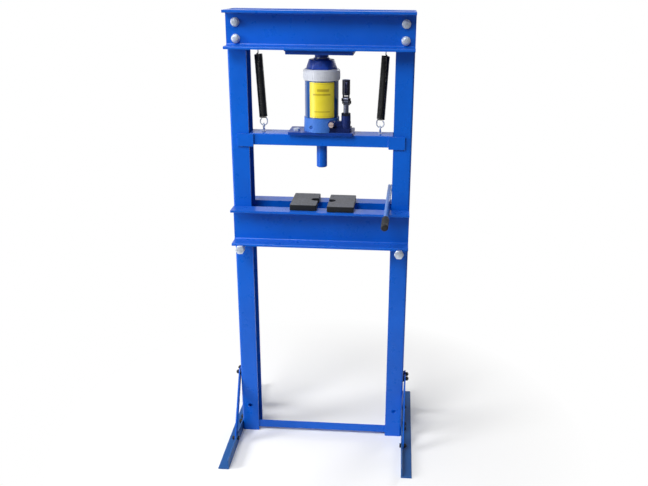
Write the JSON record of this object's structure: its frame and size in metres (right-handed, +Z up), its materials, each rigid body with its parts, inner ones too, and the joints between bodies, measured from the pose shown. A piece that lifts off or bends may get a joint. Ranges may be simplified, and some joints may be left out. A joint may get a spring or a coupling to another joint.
{
  "type": "hydraulic shop press",
  "caption": "Floor-standing H-frame hydraulic press: a bottle jack pushes a spring-returned sliding table and press ram down onto a channel bed with loose press plates.",
  "frame": {"origin": "centre of the footprint at floor level, under the press ram axis", "axes": "+Z up, front of the press facing -Y, +X to the right seen from the front"},
  "size_m": [0.574, 0.49, 1.3],
  "materials": {
    "frame_blue": "glossy enamel",
    "deep_blue": "glossy enamel",
    "jack_blue": "glossy enamel on casting",
    "zinc": "bright zinc plate",
    "black_oxide": "black oxide",
    "cast_grey": "dark cast iron",
    "steel": "ground steel",
    "spring_black": "black coated spring wire",
    "white_metal": "silver-white enamel",
    "label_yellow": "yellow film",
    "rubber": "black rubber",
    "handle_blue": "pale blue-silver tube",
    "seal": "black rubber"
  },
  "bodies": {
    "frame": {"left_post": "frame_blue", "right_post": "frame_blue", "top_beam_front": "frame_blue", "top_beam_rear": "frame_blue", "beam_bolts": "zinc", "beam_washers": "zinc", "beam_nuts": "zinc", "head_plate": "deep_blue", "spring_hangers": "deep_blue", "left_foot": "frame_blue", "right_foot": "frame_blue", "foot_bolts": "black_oxide", "foot_nuts": "black_oxide", "left_braces": "frame_blue", "right_braces": "frame_blue", "brace_spacers": "black_oxide", "brace_bolts": "black_oxide", "brace_nuts": "black_oxide", "tie_bar": "frame_blue", "bed_bolts": "zinc", "bed_nuts": "zinc", "bed_front": "frame_blue", "bed_rear": "frame_blue", "bed_spacers": "frame_blue", "spring_left": "spring_black", "spring_right": "spring_black"},
    "table": {"table_beam": "frame_blue", "guide_plates": "frame_blue", "press_ram": "frame_blue", "jack_plate": "deep_blue", "plate_bolts": "zinc", "plate_nuts": "zinc", "eye_bolts": "black_oxide", "eye_nuts": "black_oxide", "jack_base": "jack_blue", "base_screws": "steel", "tank": "deep_blue", "tank_label": "label_yellow", "tank_nut": "white_metal", "cap_nut": "deep_blue", "cylinder": "steel", "filler_plug": "rubber", "pump_gland": "black_oxide", "fulcrum_link": "black_oxide", "fulcrum_pin": "steel"},
    "lift_rod": {"piston_rod": "steel", "saddle": "deep_blue", "piston_seal": "seal"},
    "pump_plunger": {"plunger": "steel"},
    "pump_lever": {"handle_socket": "black_oxide", "lever_pins": "steel"},
    "valve_screw": {"release_valve": "zinc"},
    "plate_left": {"press_plate_left": "cast_grey"},
    "plate_right": {"press_plate_right": "cast_grey"},
    "loose_handle": {"handle_bar": "handle_blue", "handle_grip": "rubber"}
  },
  "joints": [
    {"name": "table_slide", "type": "slide", "parent": "frame", "child": "table", "axis": [0, 0, -1], "range_m": [0, 0.097], "stiffness_N_per_m": 900, "springref_m": -0.3, "deforming": ["spring_left", "spring_right"]},
    {"name": "rod_slide", "type": "slide", "parent": "table", "child": "lift_rod", "axis": [0, 0, 1], "range_m": [0, 0.097]},
    {"name": "lever_hinge", "type": "hinge", "parent": "table", "child": "pump_lever", "pos_m": [0.07, -0.0024, 1.05471], "axis": [1, 0, 0], "range_deg": [0, 50]},
    {"name": "plunger_slide", "type": "slide", "parent": "table", "child": "pump_plunger", "axis": [0, 0, -1], "range_m": [0, 0.0222]},
    {"name": "valve_turn", "type": "hinge", "parent": "table", "child": "valve_screw", "pos_m": [0.031, -0.04995, 0.9997], "axis": [0, -1, 0], "range_deg": [0, 360]},
    {"name": "plate_left_slide", "type": "slide", "parent": "frame", "child": "plate_left", "axis": [-1, 0, 0], "range_m": [-0.012, 0.08]},
    {"name": "plate_right_slide", "type": "slide", "parent": "frame", "child": "plate_right", "axis": [1, 0, 0], "range_m": [-0.012, 0.06]},
    {"name": "handle_lift", "type": "slide", "parent": "frame", "child": "loose_handle", "axis": [0, 0, 1], "range_m": [0, 0.05]}
  ],
  "couplings": [
    {"joint": "rod_slide", "follows": "table_slide", "ratio": 1},
    {"joint": "plunger_slide", "follows": "lever_hinge", "m_per_rad": 0.025183}
  ]
}
